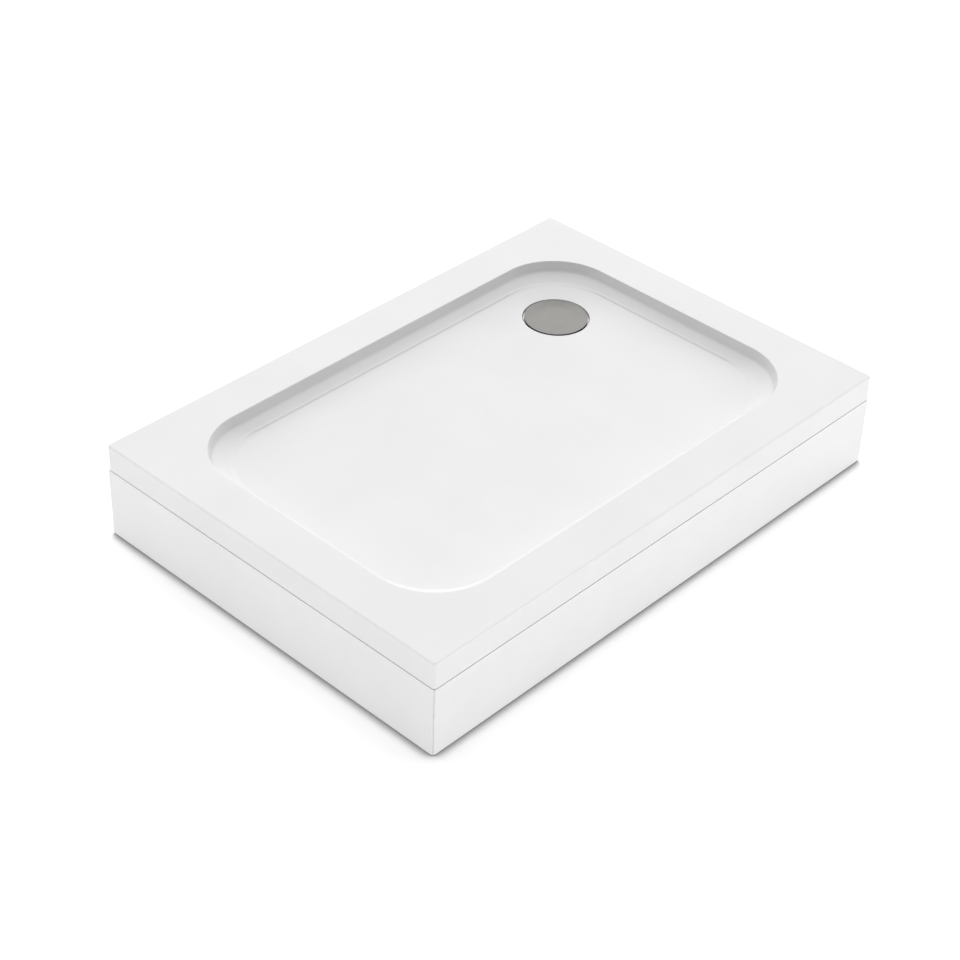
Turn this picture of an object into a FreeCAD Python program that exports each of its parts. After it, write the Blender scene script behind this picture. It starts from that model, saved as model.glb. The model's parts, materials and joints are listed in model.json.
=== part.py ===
import FreeCAD, Part
import math
import os
import re
import Sketcher

# A rectangular shower tray on an adjustable riser: a white skin over a cast core, seven levelling
# legs, two clip-on panels on the sides away from the walls, and a waste with a lift-out trap.
# The origin is on the floor under the tray's centre. +X runs along the tray, +Z is up, and the
# waste is near the corner at +X +Y, where the two walls meet.

# Driving sizes in millimetres, unless the note says a count: name, value, what it is.
SIZES = [
    ("tray_length", 1000, "overall, along X"),
    ("tray_width", 700, "overall, along Y"),
    ("tray_thickness", 45, "rim top to underside"),
    ("skin", 4, "thickness of the white skin"),
    ("corner_radius", 6, "upright outer corners of the tray"),
    ("top_edge_round", 3, "rounding of the outer top edge"),
    ("rim_width", 76, "flat rim, outer edge to recess"),
    ("recess_radius", 110, "corners of the recess at the rim, in plan"),
    ("wall_drop", 17, "steep wall under the rim, height"),
    ("wall_inset", 5, "steep wall, lean towards the middle"),
    ("ledge_drop", 9, "sloping ledge under the wall, height"),
    ("ledge_inset", 15, "sloping ledge, width"),
    ("shoulder_width", 3.7, "strip between the ledge and the small step"),
    ("shoulder_fall", 0.2, "fall of that strip, so that it drains"),
    ("shoulder_radius", 106, "corners of that strip's outer edge, in plan"),
    ("lip_drop", 2.3, "small step from shoulder to floor, height"),
    ("lip_inset", 2.5, "small step, width"),
    ("floor_radius", 118, "corners of the standing floor, in plan"),
    ("floor_fall", 5.5, "fall of the floor from its edge to the waste"),
    ("rim_round", 3, "rounding where the rim turns down into the recess"),
    ("cove_round", 7, "hollow curve between wall and ledge"),
    ("lip_round", 1, "rounding at the top of the small step"),
    ("waste_from_right", 199, "waste centre to the tray's +X side"),
    ("waste_from_back", 196, "waste centre to the tray's +Y side"),
    ("well_radius", 57, "shallow round well that the cover sits in"),
    ("well_depth", 5.5, "depth of that well"),
    ("core_clear", 15, "core kept off the well, so that the waste clamps on solid skin"),
    ("waste_hole_radius", 45, "hole for a 90 mm waste"),
    ("pocket_depth", 30, "weight-saving pockets in the core's underside"),
    ("pocket_wall", 10, "core left around each pocket"),
    ("pocket_count", 4, "a count: pockets in each bay between two legs"),
    ("plinth_height", 123, "floor to the panels' top edge"),
    ("floor_gap", 1, "panels' bottom edge above the floor"),
    ("seam_gap", 2, "shadow gap between panels and tray"),
    ("panel_thickness", 8, "plinth panels"),
    ("panel_edge_round", 1, "rounding of the panels' long edges"),
    ("mitre_gap", 0.4, "gap between the two panels' mitred ends"),
    ("leg_inset", 75, "leg centres in from the tray's sides"),
    ("socket_plate_radius", 35, "round plate of a leg socket"),
    ("socket_plate", 5, "thickness of that plate"),
    ("socket_radius", 16, "barrel of a leg socket"),
    ("socket_depth", 40, "leg socket, top to bottom"),
    ("rod_radius", 6, "M12 threaded rod"),
    ("rod_clearance", 0.05, "radial, rod in socket, nut and pad"),
    ("rod_headroom", 13, "tray underside to the rod's top end"),
    ("rod_chamfer", 1, "both ends of the rod"),
    ("rod_hex_width", 14, "hexagon on the rod, across flats"),
    ("rod_hex_height", 8, "hexagon on the rod"),
    ("nut_width", 19, "M12 lock nut, across flats"),
    ("nut_height", 8, "M12 lock nut"),
    ("pad_radius", 30, "foot pad"),
    ("pad_rim", 4, "foot pad's outer rim, height"),
    ("pad_height", 24, "foot pad, floor to collar top"),
    ("pad_collar_radius", 11, "foot pad's collar"),
    ("pad_floor", 5.7, "foot pad under the rod"),
    ("pad_bevel", 1, "bevels on the foot pad's rim"),
    ("pad_flare", 3, "step out from the pad's collar to its rim"),
    ("rod_end_gap", 0.3, "rod's end above the pad's blind hole"),
    ("rod_hex_gap", 2, "hexagon above the pad's collar"),
    ("screw_circle", 27, "screws' distance from a leg's axis"),
    ("screw_radius", 2.1, "socket screw's shank"),
    ("screw_head_radius", 4, "socket screw's countersunk head"),
    ("screw_length", 12, "socket screw, head to point"),
    ("screw_clearance", 0.2, "radial, socket screw in its holes"),
    ("clip_height", 14, "panel clip, up and down"),
    ("clip_wall", 5, "panel clip's ring around the socket"),
    ("clip_clearance", 0.1, "radial, ring on socket barrel"),
    ("clip_gap", 2, "under the socket plate, and between two clips on one leg"),
    ("clip_arm_width", 14, "arm from the ring to the panel"),
    ("clip_block_width", 22, "block at the arm's end, along the panel"),
    ("clip_block_depth", 17, "block at the arm's end, off the panel"),
    ("clip_mouth", 18, "width of the ring's snap-on mouth"),
    ("stud_radius", 4, "stud on the panel's back"),
    ("stud_length", 12, "stud, beyond its flange"),
    ("stud_flange_radius", 9, "stud's glued flange"),
    ("stud_flange", 3, "stud's glued flange, thickness"),
    ("stud_clearance", 0.1, "radial, stud in its clip"),
    ("tip_bevel", 1, "bevel on the studs' and the stem's tips"),
    ("stud_face_gap", 0.3, "clip's block to the stud's flange"),
    ("seal_thickness", 1, "washer between well and waste flange"),
    ("seal_clearance", 0.5, "radial, washers outside the waste hole"),
    ("flange_radius", 55.5, "waste flange in the well"),
    ("flange_thickness", 1.2, "waste flange"),
    ("throat_radius", 43, "waste flange's threaded throat, outside"),
    ("throat_wall", 2, "throat's wall"),
    ("throat_depth", 31.5, "throat below the flange's top"),
    ("throat_ledge", 3, "ledge at the throat's foot, inwards"),
    ("throat_clearance", 0.1, "radial, throat in the trap's neck"),
    ("cover_radius", 54, "waste cover"),
    ("cover_edge", 1, "waste cover's thickness at its edge"),
    ("cover_rise", 2.4, "rise of the cover from its edge to its flat middle"),
    ("cover_flat", 28, "flat middle of the cover, radius"),
    ("cover_gap", 2.5, "way for the water, flange to cover"),
    ("stem_radius", 4, "cover's stem in the trap insert"),
    ("stem_clearance", 0.1, "radial, stem in the trap insert"),
    ("stem_engagement", 10, "length of stem inside the trap insert"),
    ("stem_collar_radius", 7, "thick part of the stem, which rests on the insert"),
    ("under_seal", 2, "washer between tray underside and trap"),
    ("under_seal_radius", 57, "that washer's outside"),
    ("trap_flange", 4, "trap's top flange, thickness"),
    ("trap_radius", 50, "trap's cup, outside"),
    ("trap_wall", 3, "trap's cup, wall"),
    ("trap_bevel", 4, "bevel around the cup's bottom"),
    ("trap_neck_depth", 27, "threaded neck inside the trap"),
    ("trap_above_floor", 12, "room under the trap"),
    ("outlet_drop", 40, "outlet's axis below the tray's underside"),
    ("outlet_radius", 23.5, "outlet spigot, outside"),
    ("outlet_way_radius", 18, "waterway into the outlet"),
    ("pipe_radius", 20, "40 mm waste pipe that plugs in"),
    ("pipe_clearance", 0.2, "radial, pipe in the outlet's socket"),
    ("pipe_socket", 28, "depth of the outlet's socket"),
    ("outlet_reach", 115, "trap axis to the spigot's end"),
    ("outlet_seal", 5, "compression washer's thickness"),
    ("outlet_seal_clearance", 0.1, "radial, washer around the pipe's bore"),
    ("outlet_seal_inset", 0.5, "washer's outside in from the spigot's"),
    ("outlet_seal_bevel", 1, "bevel on the washer's outer end"),
    ("outlet_nut_radius", 29, "compression nut, over its body"),
    ("outlet_nut_grip", 17, "nut's length over the spigot"),
    ("outlet_nut_wall", 4, "nut's end wall"),
    ("outlet_nut_clearance", 0.1, "radial, nut on spigot"),
    ("outlet_nut_hole", 0.4, "radial, nut's end hole around the pipe's bore"),
    ("outlet_nut_bevel", 2, "bevel on the nut's outer end"),
    ("nut_lug_width", 6, "grip lugs around the nut"),
    ("nut_lug_height", 1.5, "grip lugs, beyond the nut's body"),
    ("nut_lug_root", 1.5, "grip lugs, inside the nut's body"),
    ("nut_lug_count", 8, "a count: grip lugs"),
    ("insert_clearance", 0.3, "radial, trap insert in the throat"),
    ("insert_seat_gap", 0.3, "trap insert above the throat's ledge"),
    ("insert_ring_height", 12, "trap insert's sealing ring"),
    ("insert_tube_radius", 36, "trap insert's dip tube, outside"),
    ("insert_wall", 2.5, "trap insert's wall"),
    ("insert_above_bottom", 12, "dip tube's end above the cup's bottom"),
    ("insert_bar", 6, "width of the insert's two cross bars"),
    ("insert_boss_radius", 8, "boss that takes the cover's stem"),
    ("insert_boss_rise", 2, "boss above the sealing ring"),
    ("ring_section", 1.1, "radius of the rubber ring's section"),
    ("ring_clearance", 0.05, "radial, rubber ring in the throat"),
    ("groove_depth_gap", 0.05, "rubber ring to its groove's bottom"),
    ("groove_side_gap", 0.2, "rubber ring to its groove's sides"),
    ("hole_margin", 0.5, "blind holes, beyond what goes into them"),
]

# Places and sizes worked out from the driving sizes.
DERIVED = [
    ("underside", "plinth_height + seam_gap"),
    ("rim_top", "underside + tray_thickness"),
    ("ledge_top", "rim_top - wall_drop"),
    ("shoulder_top", "ledge_top - ledge_drop"),
    ("lip_top", "shoulder_top - shoulder_fall"),
    ("floor_edge", "lip_top - lip_drop"),
    ("well_top", "floor_edge - floor_fall"),
    ("well_floor", "well_top - well_depth"),
    ("recess_length", "tray_length - 2 * rim_width"),
    ("recess_width", "tray_width - 2 * rim_width"),
    ("ledge_from_rim", "wall_inset"),
    ("shoulder_from_rim", "ledge_from_rim + ledge_inset"),
    ("lip_from_rim", "shoulder_from_rim + shoulder_width"),
    ("floor_from_rim", "lip_from_rim + lip_inset"),
    ("waste_x", "tray_length / 2 - waste_from_right"),
    ("waste_y", "tray_width / 2 - waste_from_back"),
    ("mitre_shift", "mitre_gap / sqrt(8)"),
    ("mitre_reach", "sqrt(corner_radius * corner_radius / 2 - mitre_gap * mitre_gap / 8)"),
    ("leg_column", "tray_length / 2 - leg_inset"),
    ("leg_row", "tray_width / 2 - leg_inset"),
    ("socket_bottom", "underside - socket_depth"),
    ("rod_bottom", "pad_floor + rod_end_gap"),
    ("rod_length", "underside - rod_headroom - rod_bottom"),
    ("rod_bore", "rod_radius + rod_clearance"),
    ("high_clip", "underside - socket_plate - clip_gap - clip_height"),
    ("low_clip", "high_clip - clip_gap - clip_height"),
    ("clip_reach", "leg_inset - panel_thickness - stud_flange - stud_face_gap"),
    ("flange_top", "well_floor + seal_thickness + flange_thickness"),
    ("throat_bore", "throat_radius - throat_wall"),
    ("throat_bottom", "flange_top - throat_depth"),
    ("trap_top", "underside - under_seal"),
    ("outlet_height", "underside - outlet_drop"),
    ("trap_inside", "trap_above_floor + trap_wall"),
    ("cover_bottom", "flange_top + cover_gap"),
    ("insert_bottom", "throat_bottom + throat_wall + insert_seat_gap"),
    ("insert_ring_radius", "throat_bore - insert_clearance"),
    ("insert_top", "insert_bottom + insert_ring_height"),
    ("insert_middle", "(insert_bottom + insert_top) / 2"),
    ("insert_boss_top", "insert_top + insert_boss_rise"),
    ("ring_centre_radius", "throat_bore - ring_clearance - ring_section"),
    ("pipe_bore", "pipe_radius + pipe_clearance"),
]

# Centre of each leg as expressions for X and Y. The first three stand behind the front panel, and
# the first and fourth behind the left panel.
LEGS = [
    ("-leg_column", "-leg_row"),
    ("0", "-leg_row"),
    ("leg_column", "-leg_row"),
    ("-leg_column", "leg_row"),
    ("0", "leg_row"),
    ("leg_column", "leg_row"),
    ("0", "0"),
]
FRONT_LEGS = [1, 2, 3]
LEFT_LEGS = [1, 4]
SCREWS_PER_SOCKET = 3

doc = FreeCAD.newDocument("shower_tray")
sheet = doc.addObject("Spreadsheet::Sheet", "sizes")
ALIASES = {entry[0] for entry in SIZES + DERIVED}


# ---------------------------------------------------------------- sizes and expressions

def fill_sheet():
    """Write the driving sizes as plain numbers and the worked-out ones as formulas."""
    for row, (alias, value, note) in enumerate(SIZES, 1):
        sheet.set(f"A{row}", alias)
        sheet.set(f"B{row}", str(value))
        sheet.set(f"C{row}", note)
        sheet.setAlias(f"B{row}", alias)
    for row, (alias, formula) in enumerate(DERIVED, len(SIZES) + 1):
        sheet.set(f"A{row}", alias)
        sheet.set(f"B{row}", "=" + formula)
        sheet.setAlias(f"B{row}", alias)
    doc.recompute()


def linked(expression):
    """The expression with the sheet's name in front of each size."""
    def lead(match):
        word = match.group()
        return f"sizes.{word}" if word in ALIASES else word
    return re.sub(r"[a-z][a-z_0-9]*", lead, expression)


def size(expression):
    """The value that an expression has now."""
    return float(sheet.evalExpression(expression))


def bind(feature, prop, expression):
    feature.setExpression(prop, linked(expression))


# ---------------------------------------------------------------- sketches

def new_body(label, x="0", y="0", z="0", rotation=None):
    """An empty body that stands at x, y, z."""
    body = doc.addObject("PartDesign::Body", label)
    body.Label = label
    if rotation:
        body.Placement = FreeCAD.Placement(FreeCAD.Vector(), rotation)
    for axis, expression in zip("xyz", (x, y, z)):
        bind(body, f"Placement.Base.{axis}", expression)
    return body


def new_sketch(body, name, offset="0", role="XY_Plane"):
    """A sketch on one of the body's own planes, moved along its normal by offset."""
    plane = next(item for item in body.Origin.OriginFeatures if item.Role == role)
    sketch = body.newObject("Sketcher::SketchObject", name)
    sketch.AttachmentSupport = [(plane, "")]
    sketch.MapMode = "FlatFace"
    bind(sketch, "AttachmentOffset.Base.z", offset)
    return sketch


def pin(sketch, geometry, point, x, y):
    """Hold one point of a sketch at x, y."""
    for kind, expression in (("DistanceX", x), ("DistanceY", y)):
        rule = Sketcher.Constraint(kind, -1, 1, geometry, point, size(expression))
        index = sketch.addConstraint(rule)
        bind(sketch, f"Constraints[{index}]", expression)


def draw_outline(sketch, corners):
    """A closed outline through corners (x, y), run anticlockwise.

    A corner (x, y, radius) starts an arc of that radius, which bulges outwards.
    """
    first = len(sketch.Geometry)
    count = len(corners)
    spots = [FreeCAD.Vector(size(c[0]), size(c[1]), 0) for c in corners]
    for index, corner in enumerate(corners):
        start, end = spots[index], spots[(index + 1) % count]
        if len(corner) == 2:
            sketch.addGeometry(Part.LineSegment(start, end))
            continue
        radius = size(corner[2])
        chord = end - start
        inward = FreeCAD.Vector(-chord.y, chord.x, 0).normalize()
        centre = (start + end) / 2 + inward * math.sqrt(max(radius ** 2 - chord.Length ** 2 / 4, 0))
        angles = [math.atan2((spot - centre).y, (spot - centre).x) for spot in (start, end)]
        circle = Part.Circle(centre, FreeCAD.Vector(0, 0, 1), radius)
        sketch.addGeometry(Part.ArcOfCircle(circle, angles[0], angles[1]))
    for index, corner in enumerate(corners):
        last = first + (index - 1) % count
        sketch.addConstraint(Sketcher.Constraint("Coincident", last, 2, first + index, 1))
        pin(sketch, first + index, 1, corner[0], corner[1])
        if len(corner) == 3:
            rule = Sketcher.Constraint("Radius", first + index, size(corner[2]))
            bind(sketch, f"Constraints[{sketch.addConstraint(rule)}]", corner[2])


def draw_circle(sketch, radius, x="0", y="0"):
    centre = FreeCAD.Vector(size(x), size(y), 0)
    index = sketch.addGeometry(Part.Circle(centre, FreeCAD.Vector(0, 0, 1), size(radius)))
    pin(sketch, index, 3, x, y)
    rule = Sketcher.Constraint("Radius", index, size(radius))
    bind(sketch, f"Constraints[{sketch.addConstraint(rule)}]", radius)


def draw_rectangle(sketch, low_x, high_x, low_y, high_y):
    corners = [(low_x, low_y), (high_x, low_y), (high_x, high_y), (low_x, high_y)]
    draw_outline(sketch, corners)


def draw_rounded_rectangle(sketch, length, width, radius):
    """A rectangle about the sketch's origin, with round corners."""
    x, y = f"({length}) / 2", f"({width}) / 2"
    draw_outline(sketch, [
        (f"{radius} - {x}", f"-{y}"), (f"{x} - ({radius})", f"-{y}", radius),
        (x, f"{radius} - {y}"), (x, f"{y} - ({radius})", radius),
        (f"{x} - ({radius})", y), (f"{radius} - {x}", y, radius),
        (f"-{x}", f"{y} - ({radius})"), (f"-{x}", f"{radius} - {y}", radius),
    ])


def draw_hexagon(sketch, flats):
    """A hexagon about the sketch's origin with the given width across flats."""
    point, shoulder, flat = f"{flats} / sqrt(3)", f"{flats} / sqrt(12)", f"{flats} / 2"
    draw_outline(sketch, [
        (point, "0"), (shoulder, flat), (f"-{shoulder}", flat),
        (f"-{point}", "0"), (f"-{shoulder}", f"-{flat}"), (shoulder, f"-{flat}"),
    ])


# ---------------------------------------------------------------- features

def extrude(body, sketch, name, length, down=False):
    feature = body.newObject("PartDesign::Pad", name)
    feature.Profile = sketch
    feature.Reversed = down
    bind(feature, "Length", length)
    return feature


def cut(body, sketch, name, length, up=False):
    """Cut a sketch's shape out of the body: down from the sketch, or up."""
    feature = body.newObject("PartDesign::Pocket", name)
    feature.Profile = sketch
    feature.Reversed = up
    bind(feature, "Length", length)
    return feature


def turn(body, sketch, name, kind="PartDesign::Revolution"):
    """A solid turned about the sketch's upright axis."""
    feature = body.newObject(kind, name)
    feature.Profile = sketch
    feature.ReferenceAxis = (sketch, ["V_Axis"])
    feature.Angle = 360
    return feature


def turned_body(label, profile, x="0", y="0", z="0"):
    """A round piece from its half section, whose corners are (radius, height)."""
    body = new_body(label, x, y, z)
    sketch = new_sketch(body, f"{label}_section", role="XZ_Plane")
    draw_outline(sketch, profile)
    turn(body, sketch, f"{label}_turned")
    return body


def around(body, feature, name, count):
    """Copies of a feature around the body's upright axis."""
    axis = next(item for item in body.Origin.OriginFeatures if item.Role == "Z_Axis")
    pattern = body.newObject("PartDesign::PolarPattern", name)
    pattern.Originals = [feature]
    pattern.Axis = (axis, [""])
    pattern.Angle = 360
    pattern.Occurrences = count
    body.Tip = pattern
    return pattern


def round_edges(body, name, radius, wanted, kind="PartDesign::Fillet"):
    """Round or bevel those edges of the body so far that wanted(edge) picks."""
    doc.recompute()
    base = body.Tip
    names = [f"Edge{n}" for n, edge in enumerate(base.Shape.Edges, 1) if wanted(edge)]
    if not names:
        raise ValueError(f"{name}: no edge found")
    feature = body.newObject(kind, name)
    feature.Base = (base, names)
    bind(feature, "Radius" if kind.endswith("Fillet") else "Size", radius)
    return feature


def level(edge, height):
    """Whether an edge lies flat at the given height."""
    box = edge.BoundBox
    return abs(box.ZMin - height) < 0.01 and abs(box.ZMax - height) < 0.01


def group(label, members):
    """Several separate solids in one node."""
    compound = doc.addObject("Part::Compound", label)
    compound.Label = label
    compound.Links = members
    return compound


def subtract(label, base, tool):
    result = doc.addObject("Part::Cut", label)
    result.Label = label
    result.Base = base
    result.Tool = tool
    return result


# ---------------------------------------------------------------- the tray

def recess_rings(spread):
    """The recess's rings as (inset from the rim, height, corner radius), grown outwards and down by spread."""
    return [
        (f"0 - {spread}", f"rim_top - {spread}", f"recess_radius + {spread}"),
        (f"ledge_from_rim - {spread}", f"ledge_top - {spread}", f"recess_radius - ledge_from_rim + {spread}"),
        (f"shoulder_from_rim - {spread}", f"shoulder_top - {spread}", f"shoulder_radius + {spread}"),
        (f"lip_from_rim - {spread}", f"lip_top - {spread}", f"shoulder_radius - shoulder_width + {spread}"),
        (f"floor_from_rim - {spread}", f"floor_edge - {spread}", f"floor_radius + {spread}"),
    ]


def ring_sketch(body, name, inset, height, radius):
    sketch = new_sketch(body, name, height)
    draw_rounded_rectangle(
        sketch,
        f"recess_length - 2 * ({inset})",
        f"recess_width - 2 * ({inset})",
        f"({radius})",
    )
    return sketch


def loft_away(body, name, sketches):
    feature = body.newObject("PartDesign::SubtractiveLoft", name)
    feature.Profile = sketches[0]
    feature.Sections = sketches[1:]
    feature.Ruled = True
    return feature


def cut_recess(body, name, spread):
    """Cut the walls, ledge, shoulder, step and sloping floor, all moved outwards and down by spread."""
    rings = recess_rings(spread)
    sketches = [ring_sketch(body, f"{name}_ring_{n}", *ring) for n, ring in enumerate(rings, 1)]
    loft_away(body, f"{name}_walls", sketches)
    edge = ring_sketch(body, f"{name}_floor_edge", *rings[-1])
    well = new_sketch(body, f"{name}_well_edge", f"well_top - {spread}")
    draw_circle(well, f"well_radius + {spread}", "waste_x", "waste_y")
    loft_away(body, f"{name}_floor", [edge, well])


def tray_block(label, spread):
    """The tray's outer block, taken in by spread on the top and sides."""
    body = new_body(label)
    sketch = new_sketch(body, f"{label}_plan", "underside")
    draw_rounded_rectangle(
        sketch,
        f"tray_length - 2 * {spread}",
        f"tray_width - 2 * {spread}",
        f"(corner_radius - {spread})",
    )
    extrude(body, sketch, f"{label}_block", f"tray_thickness - {spread}")
    return body


def make_core_blank():
    """The cast core without its pockets: what fills the skin."""
    body = tray_block("core_blank", "skin")
    cut_recess(body, "core", "skin")
    hole = new_sketch(body, "core_hole_plan", "rim_top")
    draw_circle(hole, "well_radius + core_clear", "waste_x", "waste_y")
    cut(body, hole, "core_hole", "tray_thickness")
    return body


def make_tray_shell(core_blank):
    """The white skin: the outer block with the recess, less the space that the core fills."""
    body = tray_block("shell_blank", "0")
    cut_recess(body, "recess", "0")
    well = new_sketch(body, "well_plan", "well_top")
    draw_circle(well, "well_radius", "waste_x", "waste_y")
    cut(body, well, "well", "well_depth")
    hole = new_sketch(body, "waste_hole_plan", "well_top")
    draw_circle(hole, "waste_hole_radius", "waste_x", "waste_y")
    cut(body, hole, "waste_hole", "well_top - underside")
    round_edges(body, "cove", "cove_round", lambda edge: level(edge, size("ledge_top")))
    round_edges(body, "lip", "lip_round", lambda edge: level(edge, size("lip_top")))

    def on_rim(edge):
        inside = abs(edge.CenterOfMass.x) < size("tray_length") / 2 - size("rim_width") / 2
        inside = inside and abs(edge.CenterOfMass.y) < size("tray_width") / 2 - size("rim_width") / 2
        return level(edge, size("rim_top")) and inside

    def on_outside(edge):
        return level(edge, size("rim_top")) and not on_rim(edge)

    round_edges(body, "rim_edge", "rim_round", on_rim)
    round_edges(body, "top_edge", "top_edge_round", on_outside)
    return subtract("tray_shell", body, core_blank)


def pocket_box(name, x, y, length, width):
    """One pocket's tool, its centre at x, y."""
    box = doc.addObject("Part::Box", name)
    bind(box, "Length", length)
    bind(box, "Width", width)
    bind(box, "Height", "pocket_depth")
    bind(box, "Placement.Base.x", f"({x}) - ({length}) / 2")
    bind(box, "Placement.Base.y", f"({y}) - ({width}) / 2")
    bind(box, "Placement.Base.z", "underside")
    return box


def make_pockets():
    """Pockets under the rim, in the bays between the legs."""
    reach = "rim_width - 2 * (skin + pocket_wall)"
    off_leg = "(socket_plate_radius + pocket_wall)"
    pockets = []
    count = int(size("pocket_count"))
    for step in range(count):
        along = f"(leg_column - 2 * {off_leg} + pocket_wall) / pocket_count"
        middle = f"{off_leg} - pocket_wall / 2 + ({along}) * {step + 0.5}"
        for side_x in (-1, 1):
            for side_y in (-1, 1):
                name = f"long_pocket_{len(pockets)}"
                y = f"{side_y} * (tray_width - rim_width) / 2"
                x = f"{side_x} * ({middle})"
                pockets.append(pocket_box(name, x, y, f"{along} - pocket_wall", reach))
    for step in range(count + 1):
        along = f"(2 * leg_row - 2 * {off_leg} + pocket_wall) / (pocket_count + 1)"
        middle = f"{off_leg} - leg_row - pocket_wall / 2 + ({along}) * {step + 0.5}"
        for side_x in (-1, 1):
            name = f"short_pocket_{len(pockets)}"
            x = f"{side_x} * (tray_length - rim_width) / 2"
            pockets.append(pocket_box(name, x, middle, reach, f"{along} - pocket_wall"))
    return pockets


def screw_spot(leg, number):
    """Where one of a socket's screws goes, as expressions."""
    x, y = LEGS[leg - 1]
    angle = f"{360 / SCREWS_PER_SOCKET * number:g} deg"
    return f"{x} + screw_circle * cos({angle})", f"{y} + screw_circle * sin({angle})"


def make_pilot_holes():
    """Holes in the core for the socket screws."""
    holes = []
    for leg in range(1, len(LEGS) + 1):
        for number in range(SCREWS_PER_SOCKET):
            x, y = screw_spot(leg, number)
            hole = doc.addObject("Part::Cylinder", f"pilot_{leg}_{number}")
            bind(hole, "Radius", "screw_radius + screw_clearance")
            bind(hole, "Height", "screw_length - socket_plate + hole_margin")
            bind(hole, "Placement.Base.x", x)
            bind(hole, "Placement.Base.y", y)
            bind(hole, "Placement.Base.z", "underside")
            holes.append(hole)
    return holes


def make_tray_core(core_blank):
    """The cast core, with weight-saving pockets and screw holes underneath."""
    return subtract("tray_core", core_blank, group("core_tools", make_pockets() + make_pilot_holes()))


# ---------------------------------------------------------------- the plinth panels

def panel_body(label, corners, on_outer_face):
    """An upright panel from its plan, with the long edges of its outer face eased."""
    body = new_body(label)
    sketch = new_sketch(body, f"{label}_plan", "floor_gap")
    draw_outline(sketch, corners)
    extrude(body, sketch, f"{label}_upright", "plinth_height - floor_gap")

    def long_edge(edge):
        flat = level(edge, size("plinth_height")) or level(edge, size("floor_gap"))
        return flat and (edge.Curve.TypeId == "Part::GeomCircle" or on_outer_face(edge.CenterOfMass))

    round_edges(body, f"{label}_eased", "panel_edge_round", long_edge)
    return body


def make_panels():
    """The front and left panels, mitred at the rounded near corner."""
    left, front = "-tray_length / 2", "-tray_width / 2"
    left_arc, front_arc = f"{left} + corner_radius", f"{front} + corner_radius"
    inner_left, inner_front = f"{left} + panel_thickness", f"{front} + panel_thickness"
    front_panel = panel_body("front_panel", [
        (f"{left_arc} - mitre_reach + mitre_shift", f"{front_arc} - mitre_reach - mitre_shift",
         "corner_radius"),
        (left_arc, front),
        ("tray_length / 2", front),
        ("tray_length / 2", inner_front),
        (f"{inner_left} + 2 * mitre_shift", inner_front),
    ], lambda spot: abs(spot.y - size(front)) < 0.01)
    left_panel = panel_body("left_panel", [
        (left, front_arc, "corner_radius"),
        (f"{left_arc} - mitre_reach - mitre_shift", f"{front_arc} - mitre_reach + mitre_shift"),
        (inner_left, f"{inner_front} + 2 * mitre_shift"),
        (inner_left, "tray_width / 2"),
        (left, "tray_width / 2"),
    ], lambda spot: abs(spot.x - size(left)) < 0.01)
    return [front_panel, left_panel]


def make_studs(label, places, height, yaw):
    """Studs on a panel's back at (x, y) places, turned by yaw degrees about Z to face inwards."""
    studs = []
    for number, (x, y) in enumerate(places, 1):
        turned = FreeCAD.Rotation(FreeCAD.Vector(0, 0, 1), yaw)
        laid = FreeCAD.Rotation(FreeCAD.Vector(1, 0, 0), -90)
        body = new_body(f"{label}_{number}", x, y, height, turned.multiply(laid))
        sketch = new_sketch(body, f"{label}_{number}_section", role="XZ_Plane")
        draw_outline(sketch, [
            ("0", "0"), ("stud_flange_radius", "0"), ("stud_flange_radius", "stud_flange"),
            ("stud_radius", "stud_flange"), ("stud_radius", "stud_flange + stud_length - tip_bevel"),
            ("stud_radius - tip_bevel", "stud_flange + stud_length"),
            ("0", "stud_flange + stud_length"),
        ])
        turn(body, sketch, f"{label}_{number}_turned")
        studs.append(body)
    return group(label, studs)


# ---------------------------------------------------------------- the legs

def make_leg_socket(number):
    """A round plate screwed under the tray, with a threaded barrel for the rod."""
    x, y = LEGS[number - 1]
    label = f"leg_socket_{number}"
    plate, depth = "-socket_plate", "-socket_depth"
    body = turned_body(label, [
        ("rod_bore", depth), ("socket_radius", depth), ("socket_radius", plate),
        ("socket_plate_radius", plate), ("socket_plate_radius", "0"), ("rod_bore", "0"),
    ], x, y, "underside")
    plan = new_sketch(body, f"{label}_hole_plan", plate)
    draw_circle(plan, "screw_radius + screw_clearance", "screw_circle")
    hole = cut(body, plan, f"{label}_hole", "socket_plate", up=True)
    around(body, hole, f"{label}_holes", SCREWS_PER_SOCKET)
    heads = new_sketch(body, f"{label}_sink_plan", plate)
    draw_circle(heads, "screw_head_radius + screw_clearance", "screw_circle")
    sink = cut(body, heads, f"{label}_sink", "screw_head_radius - screw_radius", up=True)
    around(body, sink, f"{label}_sinks", SCREWS_PER_SOCKET)
    return body


def make_screw(leg, number):
    """A screw up through the socket's plate into the core."""
    x, y = screw_spot(leg, number)
    under_head = "screw_head_radius - screw_radius - screw_clearance"
    return turned_body(f"screw_{leg}_{number}", [
        ("0", "0"), ("screw_head_radius", "0"), ("screw_head_radius", under_head),
        ("screw_radius", under_head), ("screw_radius", "screw_length - screw_radius"),
        ("0", "screw_length"),
    ], x, y, "underside - socket_plate")


def make_lock_nut(number):
    """A hexagon nut run up against the socket's barrel."""
    x, y = LEGS[number - 1]
    body = new_body(f"nut_{number}", x, y, "socket_bottom - nut_height")
    outside = new_sketch(body, f"nut_{number}_plan")
    draw_hexagon(outside, "nut_width")
    draw_circle(outside, "rod_bore")
    extrude(body, outside, f"nut_{number}_hexagon", "nut_height")
    return body


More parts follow.
